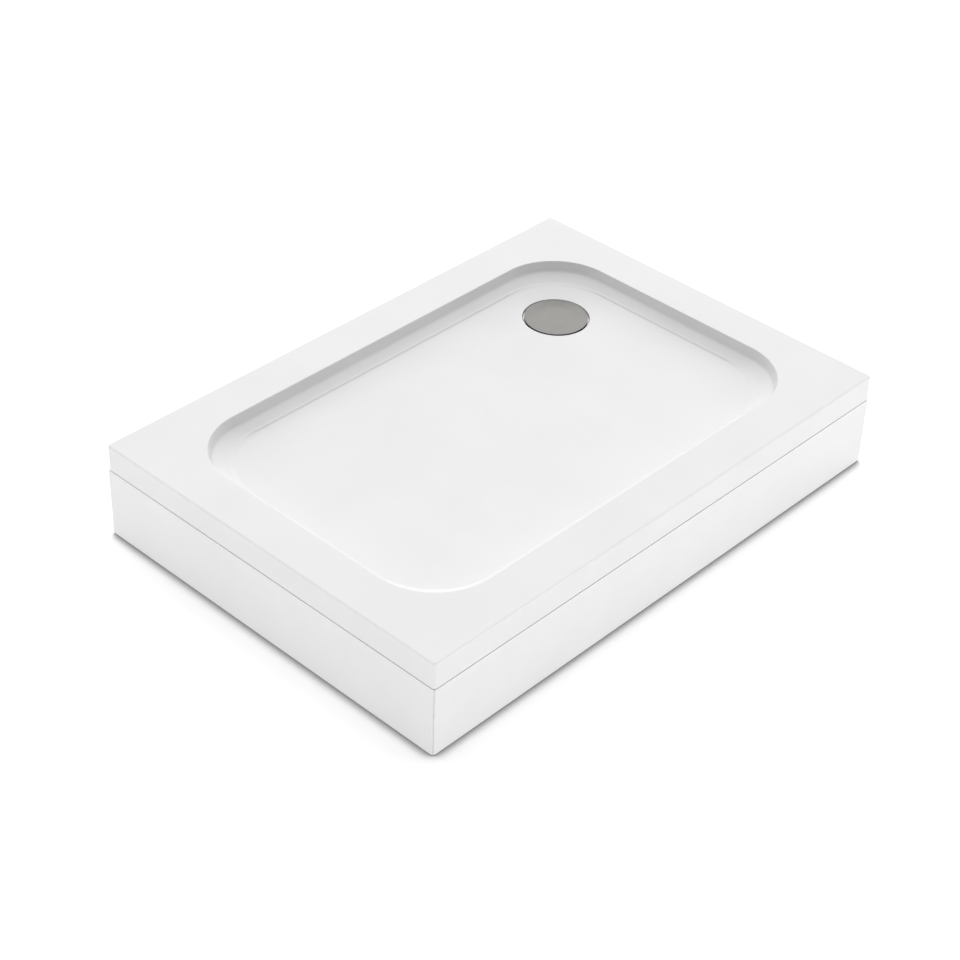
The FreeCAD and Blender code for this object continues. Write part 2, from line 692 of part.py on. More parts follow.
def make_rod(number):
    """The threaded rod, drawn at its thread's outer size, with a hexagon to turn it by."""
    x, y = LEGS[number - 1]
    label = f"threaded_rod_{number}"
    body = new_body(label, x, y, "rod_bottom")
    plan = new_sketch(body, f"{label}_plan")
    draw_circle(plan, "rod_radius")
    extrude(body, plan, f"{label}_shank", "rod_length")

    def at_end(edge):
        return level(edge, 0) or level(edge, size("rod_length"))

    round_edges(body, f"{label}_bevels", "rod_chamfer", at_end, "PartDesign::Chamfer")
    flats = new_sketch(body, f"{label}_hex_plan", "pad_height + rod_hex_gap - rod_bottom")
    draw_hexagon(flats, "rod_hex_width")
    extrude(body, flats, f"{label}_hexagon", "rod_hex_height")
    return body


def make_foot_pad(number):
    """The plastic pad that the rod's end turns in."""
    x, y = LEGS[number - 1]
    return turned_body(f"foot_pad_{number}", [
        ("0", "0"), ("pad_radius - pad_bevel", "0"), ("pad_radius", "pad_bevel"),
        ("pad_radius", "pad_rim - pad_bevel"), ("pad_radius - pad_bevel", "pad_rim"),
        ("pad_collar_radius + pad_flare", "pad_rim + pad_flare"),
        ("pad_collar_radius", "pad_rim + 2 * pad_flare"), ("pad_collar_radius", "pad_height"),
        ("rod_bore", "pad_height"), ("rod_bore", "pad_floor"), ("0", "pad_floor"),
    ], x, y)


def make_clip(label, leg, height, yaw):
    """A snap-on ring around a socket with an arm that holds a panel's stud."""
    x, y = LEGS[leg - 1]
    rotation = FreeCAD.Rotation(FreeCAD.Vector(0, 0, 1), yaw)
    body = new_body(label, x, y, height, rotation)
    half_arm, half_block = "clip_arm_width / 2", "clip_block_width / 2"
    ring = "socket_radius + clip_clearance + clip_wall"

    plan = new_sketch(body, f"{label}_ring_plan")
    draw_circle(plan, ring)
    extrude(body, plan, f"{label}_ring", "clip_height")
    arm = new_sketch(body, f"{label}_arm_plan")
    draw_rectangle(arm, f"-{half_arm}", half_arm, "-clip_reach", "0")
    extrude(body, arm, f"{label}_arm", "clip_height")
    block = new_sketch(body, f"{label}_block_plan")
    draw_rectangle(block, f"-{half_block}", half_block, "-clip_reach", "clip_block_depth - clip_reach")
    extrude(body, block, f"{label}_block", "clip_height")
    bore = new_sketch(body, f"{label}_bore_plan", "clip_height")
    draw_circle(bore, "socket_radius + clip_clearance")
    cut(body, bore, f"{label}_bore", "clip_height")
    mouth = new_sketch(body, f"{label}_mouth_plan", "clip_height")
    draw_rectangle(mouth, "-clip_mouth / 2", "clip_mouth / 2", "0", ring)
    cut(body, mouth, f"{label}_mouth", "clip_height")
    hole = new_sketch(body, f"{label}_stud_plan", "clip_reach", "XZ_Plane")
    draw_circle(hole, "stud_radius + stud_clearance", "0", "clip_height / 2")
    cut(body, hole, f"{label}_stud_hole", "stud_length + hole_margin")
    return body


# ---------------------------------------------------------------- the waste and trap

def make_washer(label, inner, outer, bottom, top):
    """A flat ring around the waste's axis."""
    return turned_body(label, [
        (inner, bottom), (outer, bottom), (outer, top), (inner, top),
    ], "waste_x", "waste_y")


def make_waste_flange():
    """The metal flange in the well, with a threaded throat that clamps the tray to the trap."""
    under = "flange_top - flange_thickness"
    ledge = "throat_bore - throat_ledge"
    return turned_body("waste_flange", [
        (ledge, "throat_bottom"), ("throat_radius", "throat_bottom"), ("throat_radius", under),
        ("flange_radius", under), ("flange_radius", "flange_top"), ("throat_bore", "flange_top"),
        ("throat_bore", "throat_bottom + throat_wall"), (ledge, "throat_bottom + throat_wall"),
    ], "waste_x", "waste_y")


def make_waste_cover():
    """The round metal cover, raised to a flat middle, on a stem that drops into the trap insert."""
    rim = "cover_bottom + cover_edge"
    tip = "insert_boss_top - stem_engagement"
    seat = "insert_boss_top + insert_seat_gap"
    return turned_body("waste_cover", [
        ("0", tip), ("stem_radius - tip_bevel", tip), ("stem_radius", f"{tip} + tip_bevel"),
        ("stem_radius", seat),
        ("stem_collar_radius", seat), ("stem_collar_radius", "cover_bottom"),
        ("cover_radius", "cover_bottom"), ("cover_radius", rim),
        ("cover_flat", f"{rim} + cover_rise"), ("0", f"{rim} + cover_rise"),
    ], "waste_x", "waste_y")


def make_trap_body():
    """The plastic cup with a flange and threaded neck on top and a hole for the outlet."""
    body = new_body("trap_body", "waste_x", "waste_y")
    outside = new_sketch(body, "trap_outside", role="XZ_Plane")
    flange = "trap_top - trap_flange"
    draw_outline(outside, [
        ("0", "trap_above_floor"), ("trap_radius - trap_bevel", "trap_above_floor"),
        ("trap_radius", "trap_above_floor + trap_bevel"), ("trap_radius", flange),
        ("under_seal_radius", flange), ("under_seal_radius", "trap_top"), ("0", "trap_top"),
    ])
    turn(body, outside, "trap_cup")
    inside = new_sketch(body, "trap_inside_section", role="XZ_Plane")
    neck, neck_foot = "throat_radius + throat_clearance", "trap_top - trap_neck_depth"
    wall = "trap_radius - trap_wall"
    draw_outline(inside, [
        ("0", "trap_inside"), (f"{wall} - trap_bevel", "trap_inside"),
        (wall, "trap_inside + trap_bevel"),
        (wall, neck_foot), (neck, neck_foot), (neck, "trap_top"), ("0", "trap_top"),
    ])
    turn(body, inside, "trap_hollow", "PartDesign::Groove")
    way = new_sketch(body, "outlet_hole_plan", "outlet_reach", "YZ_Plane")
    draw_circle(way, "outlet_way_radius", "0", "outlet_height")
    cut(body, way, "outlet_hole", "outlet_reach")
    return body


def make_trap_outlet():
    """The spigot towards +X, saddled and solvent-welded onto the cup, with a socket for the pipe."""
    body = new_body("trap_outlet", "waste_x", "waste_y")
    spigot = new_sketch(body, "spigot_plan", role="YZ_Plane")
    draw_circle(spigot, "outlet_radius", "0", "outlet_height")
    extrude(body, spigot, "spigot", "outlet_reach")
    saddle = new_sketch(body, "saddle_plan", "trap_top")
    draw_circle(saddle, "trap_radius")
    cut(body, saddle, "saddle", "trap_top")
    way = new_sketch(body, "outlet_way_plan", "outlet_reach", "YZ_Plane")
    draw_circle(way, "outlet_way_radius", "0", "outlet_height")
    cut(body, way, "outlet_way", "outlet_reach")
    socket = new_sketch(body, "pipe_socket_plan", "outlet_reach", "YZ_Plane")
    draw_circle(socket, "pipe_bore", "0", "outlet_height")
    cut(body, socket, "pipe_socket", "pipe_socket")
    return body


def laid_along_x(label):
    """A body at the outlet, whose own +Z points along +X."""
    tipped = FreeCAD.Rotation(FreeCAD.Vector(0, 1, 0), 90)
    return new_body(label, "waste_x + outlet_reach", "waste_y", "outlet_height", tipped)


def make_outlet_seal():
    """The rubber washer that the compression nut presses onto the pipe."""
    body = laid_along_x("outlet_seal")
    sketch = new_sketch(body, "outlet_seal_section", role="XZ_Plane")
    inner, outer = "pipe_bore + outlet_seal_clearance", "outlet_radius - outlet_seal_inset"
    draw_outline(sketch, [
        (inner, "0"), (outer, "0"), (outer, "outlet_seal - outlet_seal_bevel"),
        (f"{outer} - outlet_seal_bevel", "outlet_seal"), (inner, "outlet_seal"),
    ])
    turn(body, sketch, "outlet_seal_turned")
    return body


def make_outlet_nut():
    """The compression nut with grip lugs around it."""
    body = laid_along_x("outlet_nut")
    sketch = new_sketch(body, "outlet_nut_section", role="XZ_Plane")
    over_spigot = "outlet_radius + outlet_nut_clearance"
    hole, end = "pipe_bore + outlet_nut_hole", "outlet_seal + outlet_nut_wall"
    draw_outline(sketch, [
        (over_spigot, "-outlet_nut_grip"), ("outlet_nut_radius", "-outlet_nut_grip"),
        ("outlet_nut_radius", f"{end} - outlet_nut_bevel"),
        ("outlet_nut_radius - outlet_nut_bevel", end), (hole, end),
        (hole, "outlet_seal"), (over_spigot, "outlet_seal"),
    ])
    turn(body, sketch, "outlet_nut_turned")
    plan = new_sketch(body, "nut_lug_plan", "-outlet_nut_grip")
    draw_rectangle(
        plan, "outlet_nut_radius - nut_lug_root", "outlet_nut_radius + nut_lug_height",
        "-nut_lug_width / 2", "nut_lug_width / 2",
    )
    lug = extrude(body, plan, "nut_lug", "outlet_nut_grip + outlet_seal")
    around(body, lug, "nut_lugs", int(size("nut_lug_count")))
    return body


def make_trap_insert():
    """The lift-out dip tube: a sealing ring, a tube, two cross bars and a boss for the stem."""
    body = new_body("trap_insert", "waste_x", "waste_y")
    section = new_sketch(body, "insert_section", role="XZ_Plane")
    outer, inner = "insert_tube_radius", "insert_tube_radius - insert_wall"
    groove = "ring_centre_radius - ring_section - groove_depth_gap"
    groove_low = "insert_middle - ring_section - groove_side_gap"
    groove_high = "insert_middle + ring_section + groove_side_gap"
    draw_outline(section, [
        (inner, "trap_inside + insert_above_bottom"), (outer, "trap_inside + insert_above_bottom"),
        (outer, "insert_bottom"), ("insert_ring_radius", "insert_bottom"),
        ("insert_ring_radius", groove_low), (groove, groove_low), (groove, groove_high),
        ("insert_ring_radius", groove_high), ("insert_ring_radius", "insert_top"),
        (inner, "insert_top"),
    ])
    turn(body, section, "insert_tube")
    half, reach = "insert_bar / 2", "(insert_tube_radius - insert_wall / 2)"
    for name, x, y in (("bar_x", reach, half), ("bar_y", half, reach)):
        plan = new_sketch(body, f"insert_{name}_plan", "insert_bottom")
        draw_rectangle(plan, f"-{x}", x, f"-{y}", y)
        extrude(body, plan, f"insert_{name}", "insert_ring_height")
    boss = new_sketch(body, "insert_boss_plan", "insert_bottom")
    draw_circle(boss, "insert_boss_radius")
    extrude(body, boss, "insert_boss", "insert_boss_top - insert_bottom")
    stem = new_sketch(body, "insert_stem_plan", "insert_boss_top")
    draw_circle(stem, "stem_radius + stem_clearance")
    cut(body, stem, "insert_stem_hole", "stem_engagement + hole_margin")
    return body


def make_insert_ring():
    """The rubber ring in the insert's groove."""
    ring = doc.addObject("Part::Torus", "insert_ring")
    ring.Label = "insert_ring"
    bind(ring, "Radius1", "ring_centre_radius")
    bind(ring, "Radius2", "ring_section")
    bind(ring, "Placement.Base.x", "waste_x")
    bind(ring, "Placement.Base.y", "waste_y")
    bind(ring, "Placement.Base.z", "insert_middle")
    return ring


# ---------------------------------------------------------------- the whole

def make_tray():
    core_blank = make_core_blank()
    return [make_tray_shell(core_blank), make_tray_core(core_blank)]


def make_plinth():
    back_of_front = "panel_thickness - tray_width / 2"
    back_of_left = "panel_thickness - tray_length / 2"
    front_places = [(LEGS[leg - 1][0], back_of_front) for leg in FRONT_LEGS]
    left_places = [(back_of_left, LEGS[leg - 1][1]) for leg in LEFT_LEGS]
    nodes = make_panels()
    nodes.append(make_studs("front_panel_studs", front_places, "high_clip + clip_height / 2", 0))
    nodes.append(make_studs("left_panel_studs", left_places, "low_clip + clip_height / 2", -90))
    for number, leg in enumerate(FRONT_LEGS, 1):
        nodes.append(make_clip(f"front_clip_{number}", leg, "high_clip", 0))
    for number, leg in enumerate(LEFT_LEGS, 1):
        nodes.append(make_clip(f"left_clip_{number}", leg, "low_clip", -90))
    return nodes


def make_legs():
    nodes, nuts, screws = [], [], []
    for number in range(1, len(LEGS) + 1):
        nodes += [make_leg_socket(number), make_rod(number), make_foot_pad(number)]
        nuts.append(make_lock_nut(number))
        screws += [make_screw(number, place) for place in range(SCREWS_PER_SOCKET)]
    return nodes + [group("lock_nuts", nuts), group("socket_screws", screws)]


def make_waste():
    inner, seal_top = "waste_hole_radius + seal_clearance", "well_floor + seal_thickness"
    return [
        make_washer("well_seal", inner, "flange_radius", "well_floor", seal_top),
        make_waste_flange(),
        make_waste_cover(),
        make_washer("under_seal_ring", inner, "under_seal_radius", "trap_top", "underside"),
        make_trap_body(),
        make_trap_outlet(),
        make_trap_insert(),
        make_insert_ring(),
        make_outlet_seal(),
        make_outlet_nut(),
    ]


def check_and_write(nodes):
    """Stop on any failed object or bad shape, then write one file for each node."""
    doc.recompute()
    for item in doc.Objects:
        if "Invalid" in item.State or "Error" in item.State:
            raise ValueError(f"{item.Name} failed: {item.State}")
    for node in nodes:
        if node.Shape.isNull() or not node.Shape.isValid() or not node.Shape.Solids:
            raise ValueError(f"{node.Label} has a bad shape")
    os.makedirs("parts", exist_ok=True)
    for node in nodes:
        node.Shape.exportStep(f"parts/{node.Label}.step")
        box = node.Shape.BoundBox
        print(f"{node.Label}: {len(node.Shape.Solids)} solids, {node.Shape.Volume:.0f} mm3,"
              f" {box.XMin:.1f}..{box.XMax:.1f} {box.YMin:.1f}..{box.YMax:.1f}"
              f" {box.ZMin:.1f}..{box.ZMax:.1f}")


fill_sheet()
check_and_write(make_tray() + make_plinth() + make_legs() + make_waste())
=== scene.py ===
"""The visible model of a shower tray on a panelled riser, laid over its CAD frame, with its studio."""

import json
import math

import bmesh
import bpy
from bpy.props import FloatProperty, FloatVectorProperty, IntProperty, PointerProperty
from mathutils import Matrix, Vector


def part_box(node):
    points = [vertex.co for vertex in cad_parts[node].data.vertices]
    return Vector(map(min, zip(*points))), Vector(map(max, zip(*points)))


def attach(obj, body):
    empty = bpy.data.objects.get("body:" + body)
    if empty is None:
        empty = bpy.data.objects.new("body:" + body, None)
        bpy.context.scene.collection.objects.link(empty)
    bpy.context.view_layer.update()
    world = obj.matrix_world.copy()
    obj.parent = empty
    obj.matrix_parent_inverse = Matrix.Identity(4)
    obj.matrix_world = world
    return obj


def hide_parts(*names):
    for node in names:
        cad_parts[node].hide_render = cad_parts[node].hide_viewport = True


bl_info = {
    "name": "Shower Tray",
    "version": (1, 0, 0),
    "blender": (4, 5, 0),
    "location": "3D View > Sidebar > Shower Tray",
    "description": "Builds the visible parts of a shower tray on its CAD frame, and a studio round it",
    "category": "Add Mesh",
}

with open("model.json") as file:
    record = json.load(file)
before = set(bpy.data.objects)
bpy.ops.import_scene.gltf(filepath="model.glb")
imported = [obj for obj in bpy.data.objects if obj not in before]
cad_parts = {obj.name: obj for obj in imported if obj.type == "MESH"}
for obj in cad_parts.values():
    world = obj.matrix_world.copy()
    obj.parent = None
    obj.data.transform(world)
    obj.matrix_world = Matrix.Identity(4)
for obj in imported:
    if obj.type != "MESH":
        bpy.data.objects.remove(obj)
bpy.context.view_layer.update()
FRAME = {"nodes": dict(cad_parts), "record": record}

# Details of the tray's skin, in metres.
MARGIN = 0.012  # how far the recess's profile reaches onto the rim, and onto the floor
MARGIN_FALL = 0.0003  # fall of the floor over that margin
LEAST_CORNER = 0.0008  # smallest outer corner on the rounded top edge
WELL_EDGE_SHARE = 0.9  # part of the well's edge that the rounding takes up
WELL_TAPER = 0.0004  # how much narrower the well is at its foot
HOLE_ROUND = 0.0005  # where the well's floor turns down into the hole
CORE_EDGE_DROP = 0.005  # from the well's top to the end of the skin inside the core's hole

# Details of the waste cover, in metres unless they are shares or counts.
STEM_BEVEL = 0.001
COLLAR_BEVEL = 0.0005
COLLAR_FLARE = 0.0015  # where the collar widens into the cover
LOWER_BEVEL = 0.0003  # on the cover's lower edge
UPRIGHT_END = 0.0002  # from the end of the upright edge to its full height
ROLL_IN, ROLL_UP = 0.3, 0.8  # shares of the upper edge's rounding at its middle point
BEND_STEPS = 8

HEXAGON_TRIM = 0.94  # reach of the hexagon's corners at its ends, as a share
WELD_REACH = 1e-6  # metres within which points are one
SKIN_SHARP, COVER_SHARP, ROD_SHARP = 35, 40, 35  # degrees from which edges are shaded as edges

# Places of the colour sockets of a Mix node.
MIX_FACTOR, MIX_FIRST, MIX_SECOND, MIX_RESULT = 0, 6, 7, 2

# The stage, in metres.
FLOOR_HALF = 14.0
SHADOW_SAMPLES = 8
SHADOW_FULL = 0.4  # openness to the sky at which the painted contact shadow is darkest
BACK_DIRECTION = (0.62, 0.62, 0.48)  # where the studio is brightest
BACK_FULL = 0.95  # how far toward it the full brightness is reached
LAMP_WIDTH, LAMP_HEIGHT = 2.6, 0.12
LAMPS = (  # name, place, what it aims at, and the setting with its power
    ("left_lamp", (-3.0, 0.0, 0.075), (0.0, 0.0, 0.075), "left_fill"),
    ("right_lamp", (0.4, -3.0, 0.075), (0.2, 0.0, 0.075), "right_fill"),
)
SENSOR = 36.0  # millimetres


# ---------------------------------------------------------------- settings


def length(label, description, default):
    return FloatProperty(
        name=label, description=description, default=default, min=0.0, subtype="DISTANCE", unit="LENGTH"
    )


def place(label, description, default):
    return FloatProperty(
        name=label, description=description, default=default, subtype="DISTANCE", unit="LENGTH"
    )


def number(label, description, default):
    return FloatProperty(name=label, description=description, default=default, min=0.0)


def count(label, description, default):
    return IntProperty(name=label, description=description, default=default, min=1)


def angle(label, description, degrees):
    return FloatProperty(
        name=label, description=description, default=math.radians(degrees), subtype="ANGLE"
    )


def colour(label, description, default):
    return FloatVectorProperty(
        name=label, description=description, default=default, size=3, min=0.0, max=2.0, subtype="COLOR"
    )


class TraySettings(bpy.types.PropertyGroup):
    """Sizes of the white skin, as the CAD has them."""

    rim_top: place("Rim top", "Height of the rim above the floor", 0.170)
    underside: place("Underside", "Height of the skirt's lower edge", 0.125)
    corner: length("Corner", "Radius of the outer corners in plan", 0.006)
    top_edge: length("Top edge", "Rounding of the outer top edge", 0.003)
    rim_width: length("Rim width", "Outer edge to the recess", 0.076)
    opening_corner: length("Opening corner", "Radius of the recess's corners", 0.110)
    rim_round: length("Rim rounding", "Where the rim turns down into the recess", 0.0012)
    ledge_inset: length("Ledge inset", "Foot of the wall, in from the opening", 0.005)
    ledge_top: place("Ledge height", "Foot of the wall above the floor", 0.153)
    cove: length("Cove", "Hollow curve between wall and ledge", 0.007)
    shoulder_inset: length("Shoulder inset", "Foot of the ledge, in from the opening", 0.020)
    shoulder_top: place("Shoulder height", "Foot of the ledge above the floor", 0.144)
    shoulder_corner: length("Shoulder corner", "Corner radius at the foot of the ledge", 0.106)
    lip_inset: length("Lip inset", "Top of the small step, in from the opening", 0.0237)
    lip_top: place("Lip height", "Top of the small step", 0.1438)
    lip_round: length("Lip rounding", "Rounding on top of the small step", 0.0006)
    floor_inset: length("Floor inset", "Foot of the small step, in from the opening", 0.0262)
    floor_edge: place("Floor edge", "Height of the standing floor at its edge", 0.1415)
    floor_corner: length("Floor corner", "Corner radius of the standing floor", 0.118)
    step_foot: length("Step foot", "Hollow curve at the foot of the small step", 0.0007)
    waste_x: place("Waste X", "Centre of the waste along the tray", 0.301)
    waste_y: place("Waste Y", "Centre of the waste across the tray", 0.154)
    well_radius: length("Well radius", "Round well that the cover sits in", 0.057)
    well_top: place("Well top", "Height of the floor at the well", 0.136)
    well_floor: place("Well floor", "Height of the well's floor", 0.1305)
    well_edge: length("Well edge", "Rounding of the well's edge", 0.001)
    hole_radius: length("Hole radius", "Hole for the waste", 0.045)
    core_hole: length("Core hole", "Where the core begins round the waste", 0.072)
    skin: length("Skin", "Thickness of the white skin", 0.0037)
    side_points: count("Side points", "Points along each side of a ring", 72)
    corner_points: count("Corner points", "Points round each corner of a ring", 24)
    floor_rings: count("Floor rings", "Rings from the floor's edge to the well", 24)
    arc_steps: count("Arc steps", "Steps round each small curve", 6)


class CoverSettings(bpy.types.PropertyGroup):
    """Sizes of the waste cover."""

    radius: length("Radius", "Outside of the cover", 0.054)
    bottom: place("Bottom", "Height of the cover's lower face", 0.1352)
    edge: length("Edge", "Height of the upright edge", 0.001)
    rise: length("Rise", "Rise from the edge to the flat middle", 0.0024)
    flat: length("Flat middle", "Radius of the flat middle", 0.028)
    soft: length("Soft", "Reach of the soft bend round the flat middle", 0.003)
    roll: length("Roll", "Rounding of the upper edge", 0.0006)
    stem_radius: length("Stem radius", "Stem under the cover", 0.006)
    collar_radius: length("Collar radius", "Collar that rests on the trap insert", 0.010)
    seat: place("Seat", "Height of the collar's lower face", 0.118)
    around: count("Points around", "Points round the cover", 160)


class RodSettings(bpy.types.PropertyGroup):
    """Sizes of the threaded rods."""

    radius: length("Radius", "Outside of the thread", 0.006)
    pitch: length("Pitch", "Height of one turn of the thread", 0.00175)
    depth: length("Depth", "Depth of the thread", 0.0009)
    bevel: length("Bevel", "Bevel at both ends", 0.001)
    flats: length("Flats", "Hexagon, across flats", 0.014)
    hex_bottom: place("Hexagon bottom", "Height of the hexagon's lower face", 0.026)
    hex_top: place("Hexagon top", "Height of the hexagon's upper face", 0.034)
    hex_bevel: length("Hexagon bevel", "Bevel on the hexagon's corners", 0.0009)
    around: count("Points around", "Points round the rod", 24)
    per_turn: count("Steps per turn", "Rings for one pitch of the thread", 6)


class FinishSettings(bpy.types.PropertyGroup):
    """Colours of the materials."""

    skin: colour("Skin", "White acrylic skin of the tray", (0.83, 0.83, 0.832))
    panel: colour("Panel", "White laminated plinth panels", (0.85, 0.85, 0.854))
    core: colour("Core", "Cast stone and resin", (0.60, 0.56, 0.50))
    clip: colour("Clip", "Moulded clips and studs", (0.70, 0.70, 0.68))
    leg: colour("Leg", "Black moulded leg plastic", (0.018, 0.018, 0.019))
    zinc: colour("Zinc", "Zinc-plated steel", (0.62, 0.61, 0.58))
    satin: colour("Satin steel", "Brushed stainless steel", (0.56, 0.55, 0.53))
    cover: colour("Cover", "Satin metal of the waste cover", (0.225, 0.222, 0.213))
    trap: colour("Trap", "White trap plastic", (0.78, 0.78, 0.76))
    insert: colour("Insert", "Grey trap insert", (0.36, 0.37, 0.38))
    rubber: colour("Rubber", "Black rubber washers", (0.02, 0.02, 0.021))


class StageSettings(bpy.types.PropertyGroup):
    """The camera, the floor and the lights."""

    azimuth: angle("Azimuth", "Direction from the tray to the camera", -137.5)
    elevation: angle("Elevation", "Height of the camera over the rim", 36.8)
    roll: angle("Roll", "Tilt of the picture", 2.1)
    distance: length("Distance", "Camera to the middle of the rim", 3.4512)
    slide_right: place("Slide right", "Camera's move to its right", -0.0325)
    slide_up: place("Slide up", "Camera's move upwards", -0.1105)
    lens: FloatProperty(
        name="Lens", description="Focal length on a 36 mm sensor", default=82.85, unit="CAMERA"
    )
    floor: colour("Floor", "The floor as the camera sees it", (1.31, 1.31, 1.31))
    # Painted contact shadow: near the plinth, the floor's colour to the camera is darkened to this
    # colour, fading out over the reach below
    painted_contact_shadow: colour("Contact", "The floor where the plinth meets it", (0.36, 0.36, 0.37))
    painted_shadow_reach: length("Contact reach", "How far the contact shadow fades out", 0.020)
    bounce: colour("Bounce", "The floor as it lights the tray", (0.95, 0.95, 0.95))
    sky: number("Sky", "Brightness of the studio all round", 0.43)
    back_sky: number("Back sky", "What the studio gains behind the tray", 1.28)
    left_fill: number("Left fill", "Power of the low lamp on the left, in watts", 18.5)
    right_fill: number("Right fill", "Power of the low lamp on the right, in watts", 27.5)


# ---------------------------------------------------------------- shader maths


def plug(tree, value, socket):
    """Put a number, a colour, a vector or another node's output into an input."""
    if isinstance(value, Signal):
        tree.links.new(value.socket, socket)
    elif socket.type == "RGBA":
        socket.default_value = (*value, 1.0)
    else:
        socket.default_value = value


class Signal:
    """A node's output that Python's operators extend with Math nodes."""

    def __init__(self, tree, socket):
        self.tree = tree
        self.socket = socket

    def math(self, operation, other):
        node = self.tree.nodes.new("ShaderNodeMath")
        node.operation = operation
        plug(self.tree, self, node.inputs[0])
        plug(self.tree, other, node.inputs[1])
        return Signal(self.tree, node.outputs[0])

    def __add__(self, other):
        return self.math("ADD", other)

    def __sub__(self, other):
        return self.math("SUBTRACT", other)

    def __mul__(self, other):
        return self.math("MULTIPLY", other)

    def __neg__(self):
        return self * -1.0

    def __radd__(self, other):
        return self + other

    def __rsub__(self, other):
        return -self + other

    def __rmul__(self, other):
        return self * other


class Finish:
    """A node tree in the making, with its shader."""

    def __init__(self, tree, shader):
        self.tree = tree
        self.shader = tree.nodes[shader]

    @classmethod
    def material(cls, name):
        """A new material on the Principled shader."""
        material = bpy.data.materials.new(name)
        material.use_nodes = True
        finish = cls(material.node_tree, "Principled BSDF")
        finish.result = material
        return finish

    def node(self, kind, settings=None, inputs=None, output=0):
        """Any node, by its type, its settings and what goes into its inputs."""
        node = self.tree.nodes.new(kind)
        for key, value in (settings or {}).items():
            setattr(node, key, value)
        for key, value in (inputs or {}).items():
            plug(self.tree, value, node.inputs[key])
        return Signal(self.tree, node.outputs[output])

    def spot(self, stretch=(1.0, 1.0, 1.0)):
        """The point on the surface in the object's own metres, stretched along its axes."""
        at = self.node("ShaderNodeTexCoord", output="Object")
        return self.node("ShaderNodeVectorMath", {"operation": "MULTIPLY"}, {0: at, 1: stretch})

    def noise(self, grain, detail=2.0, at=None):
        """Soft noise from 0 to 1, whose grain has that size in metres."""
        inputs = {
            "Vector": at or self.spot(),
            "Scale": 1.0 / grain,
            "Detail": detail,
            "Roughness": 0.55,
        }
        return self.node("ShaderNodeTexNoise", {"noise_dimensions": "3D"}, inputs)

    def specks(self, grain):
        """Distance to the nearest of many scattered points, grain metres apart."""
        inputs = {"Vector": self.spot(), "Scale": 1.0 / grain}
        return self.node("ShaderNodeTexVoronoi", {"voronoi_dimensions": "3D"}, inputs)

    def between(self, value, low, high, start=0.0, end=1.0):
        """value taken from low..high to start..end, with soft ends."""
        inputs = {"Value": value, "From Min": low, "From Max": high, "To Min": start, "To Max": end}
        return self.node("ShaderNodeMapRange", {"interpolation_type": "SMOOTHSTEP"}, inputs)

    def mix(self, factor, first, second):
        """A colour between two."""
        settings = {"data_type": "RGBA", "clamp_factor": True}
        inputs = {MIX_FACTOR: factor, MIX_FIRST: first, MIX_SECOND: second}
        return self.node("ShaderNodeMix", settings, inputs, MIX_RESULT)

    def shades(self, value, low, high, base, dark, light):
        """base times dark up to base times light, as value goes from low to high."""
        return self.mix(self.between(value, low, high), tinted(base, dark), tinted(base, light))

    def set(self, **inputs):
        """Values or signals for the shader's own inputs; _ stands for a space."""
        for key, value in inputs.items():
            plug(self.tree, value, self.shader.inputs[key.replace("_", " ")])

    def bump(self, height, depth):
        """Relief from a signal of 0 to 1, depth metres high."""
        self.set(Normal=self.node("ShaderNodeBump", None, {"Height": height, "Distance": depth}))


def tinted(base, factor):
    """A colour, lighter or darker by one factor."""
    return tuple(channel * factor for channel in base)


def gel_coat(name, base, rough, wave, depth):
    """Glossy white acrylic: almost even, with a trace of ripple and handling."""
    finish = Finish.material(name)
    cloud = finish.noise(0.16, 3.0)
    film = finish.noise(0.012, 4.0)
    tone = finish.shades(cloud, 0.3, 0.7, base, 0.985, 1.012)
    finish.set(Base_Color=tone, Roughness=film * 0.06 + (rough - 0.03), IOR=1.49)
    finish.set(Coat_Weight=0.15, Coat_Roughness=0.12, Specular_IOR_Level=0.42)
    ripple = finish.noise(wave, 1.0)
    peel = finish.noise(wave * 0.12, 2.0)
    finish.bump(ripple * 0.8 + peel * 0.2, depth)
    return finish.result


def moulded(name, base, rough, grain, depth):
    """Moulded plastic with a fine spark-eroded grain."""
    finish = Finish.material(name)
    cloud = finish.noise(0.03, 3.0)
    pits = finish.noise(grain, 3.0)
    tone = finish.shades(cloud, 0.3, 0.7, base, 0.93, 1.06)
    finish.set(Base_Color=tone, Roughness=pits * 0.14 + (rough - 0.07), IOR=1.5)
    finish.bump(finish.between(pits, 0.35, 0.65), depth)
    return finish.result


def cast_stone(name, base):
    """Resin filled with stone grit: pale, speckled and pitted."""
    finish = Finish.material(name)
    grit = finish.specks(0.0032)
    fines = finish.noise(0.0011, 4.0)
    cloud = finish.noise(0.07, 3.0)
    body = finish.shades(cloud, 0.25, 0.75, base, 0.88, 1.08)
    light = finish.mix(finish.between(grit, 0.05, 0.3, 1.0, 0.0), body, tinted(base, 1.35))
    tone = finish.mix(finish.between(fines, 0.6, 0.75), light, tinted(base, 0.55))
    finish.set(Base_Color=tone, Roughness=fines * 0.2 + 0.68, IOR=1.5)
    finish.bump(fines * 0.6 + finish.between(grit, 0.0, 0.5) * 0.4, 0.0005)
    return finish.result


def plated(name, base):
    """Zinc plate: a fine crystalline bloom over bright steel, a little yellow in places."""
    finish = Finish.material(name)
    bloom = finish.specks(0.0028)
    cloud = finish.noise(0.018, 4.0)
    tone = finish.shades(cloud, 0.3, 0.7, base, 0.86, 1.05)
    yellow = (base[0] * 1.06, base[1] * 0.98, base[2] * 0.80)
    tone = finish.mix(finish.between(cloud, 0.55, 0.8, 0.0, 0.5), tone, yellow)
    rough = finish.between(bloom, 0.0, 0.9, 0.30, 0.44)
    finish.set(Base_Color=tone, Metallic=1.0, Roughness=rough)
    finish.bump(finish.noise(0.0006, 2.0), 0.00004)
    return finish.result


